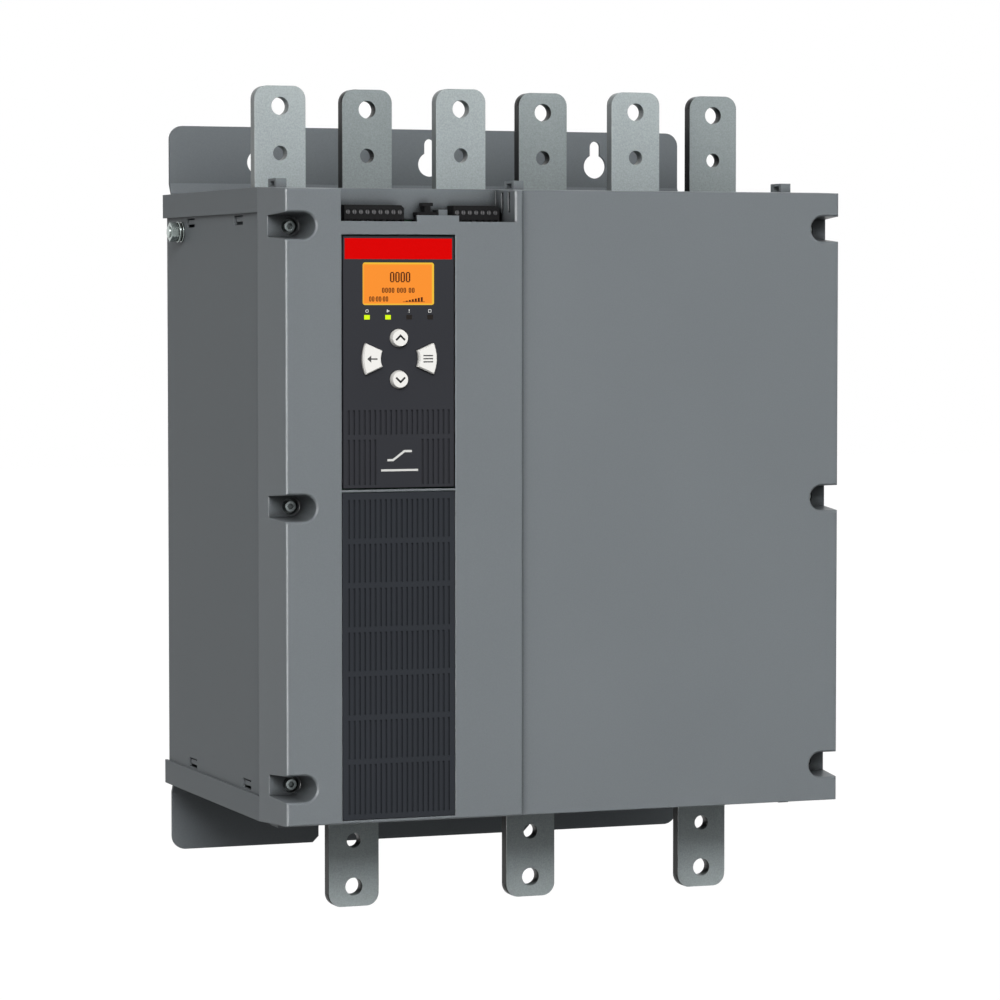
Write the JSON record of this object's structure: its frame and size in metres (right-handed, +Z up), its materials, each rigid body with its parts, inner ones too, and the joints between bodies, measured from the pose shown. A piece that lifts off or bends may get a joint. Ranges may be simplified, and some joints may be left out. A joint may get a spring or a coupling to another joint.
{
  "type": "soft starter",
  "caption": "Wall-mounted motor soft starter: steel case with moulded front cover, keypad and display, grooved panel, open terminal recess and drilled connection bars above and below.",
  "frame": {"origin": "centre of the round entry of the middle keyhole, on the wall plane", "axes": "+X to the right seen from the front, +Y from the front into the wall, +Z up"},
  "size_m": [0.4587, 0.312, 0.6203],
  "materials": {
    "panel_paint": "satin",
    "plate_paint": "satin",
    "cover_grey": "matt",
    "bolt_steel": "satin",
    "zinc_steel": "bright",
    "black_plastic": "matt",
    "plated_copper": "satin",
    "bare_copper": "satin",
    "extruded_aluminium": "satin",
    "disc_ceramic": "gloss",
    "laminate": "matt",
    "ct_resin": "matt",
    "rotor_plastic": "matt",
    "board_green": "matt",
    "nylon": "matt",
    "relay_blue": "matt",
    "keypad_grey": "matt",
    "header_red": "gloss",
    "display_amber": "gloss",
    "module_grey": "matt",
    "light_green": "gloss",
    "mat_rubber": "matt",
    "button_white": "satin"
  },
  "bodies": {
    "starter": {"mounting_plate": "plate_paint", "top_panel": "panel_paint", "bottom_panel": "panel_paint", "left_side_panel": "panel_paint", "right_side_panel": "panel_paint", "front_cover": "cover_grey", "cover_screws": "bolt_steel", "cover_washers": "bolt_steel", "earth_stud": "zinc_steel", "earth_nut": "zinc_steel", "earth_washers": "zinc_steel", "top_insulator": "black_plastic", "bottom_insulator": "black_plastic", "line_bar_1": "plated_copper", "line_bar_2": "plated_copper", "line_bar_3": "plated_copper", "bypass_bar_1": "plated_copper", "bypass_bar_2": "plated_copper", "bypass_bar_3": "plated_copper", "outlet_bar_1": "plated_copper", "outlet_bar_2": "plated_copper", "outlet_bar_3": "plated_copper", "outlet_blocks": "bare_copper", "front_sink_1": "extruded_aluminium", "front_sink_2": "extruded_aluminium", "front_sink_3": "extruded_aluminium", "rear_sink_1": "extruded_aluminium", "rear_sink_2": "extruded_aluminium", "rear_sink_3": "extruded_aluminium", "thyristor_discs": "disc_ceramic", "clamp_bolts": "bolt_steel", "clamp_sleeves": "laminate", "busbar_bolts": "bolt_steel", "support_rails": "laminate", "current_transformers": "ct_resin", "fan_frames": "black_plastic", "gate_board": "board_green", "board_posts": "nylon", "control_board": "board_green", "signal_relays": "relay_blue", "terminal_block_left": "black_plastic", "terminal_block_right": "black_plastic", "terminal_screws": "bolt_steel", "service_clip": "black_plastic", "keypad_housing": "keypad_grey", "keypad_back": "keypad_grey", "header_strip": "header_red", "display_lens": "display_amber", "display_module": "module_grey", "status_lights": "light_green", "keypad_board": "board_green", "button_mat": "mat_rubber", "grooved_panel": "keypad_grey"},
    "up_button": {"up_button": "button_white"},
    "down_button": {"down_button": "button_white"},
    "back_button": {"back_button": "button_white"},
    "menu_button": {"menu_button": "button_white"},
    "fan_rotor_1": {"fan_rotor_1": "rotor_plastic"},
    "fan_rotor_2": {"fan_rotor_2": "rotor_plastic"},
    "fan_rotor_3": {"fan_rotor_3": "rotor_plastic"}
  },
  "joints": [
    {"name": "up_button_press", "type": "slide", "parent": "starter", "child": "up_button", "axis": [0, 1, 0], "range_m": [0, 0.001], "stiffness_N_per_m": 1500, "springref_m": -0.0006},
    {"name": "down_button_press", "type": "slide", "parent": "starter", "child": "down_button", "axis": [0, 1, 0], "range_m": [0, 0.001], "stiffness_N_per_m": 1500, "springref_m": -0.0006},
    {"name": "back_button_press", "type": "slide", "parent": "starter", "child": "back_button", "axis": [0, 1, 0], "range_m": [0, 0.001], "stiffness_N_per_m": 1500, "springref_m": -0.0006},
    {"name": "menu_button_press", "type": "slide", "parent": "starter", "child": "menu_button", "axis": [0, 1, 0], "range_m": [0, 0.001], "stiffness_N_per_m": 1500, "springref_m": -0.0006},
    {"name": "fan_1_spin", "type": "hinge", "parent": "starter", "child": "fan_rotor_1", "pos_m": [-0.144, -0.072, -0.48435], "axis": [0, 0, 1], "continuous": true},
    {"name": "fan_2_spin", "type": "hinge", "parent": "starter", "child": "fan_rotor_2", "pos_m": [0, -0.072, -0.48435], "axis": [0, 0, 1], "continuous": true},
    {"name": "fan_3_spin", "type": "hinge", "parent": "starter", "child": "fan_rotor_3", "pos_m": [0.144, -0.072, -0.48435], "axis": [0, 0, 1], "continuous": true}
  ]
}
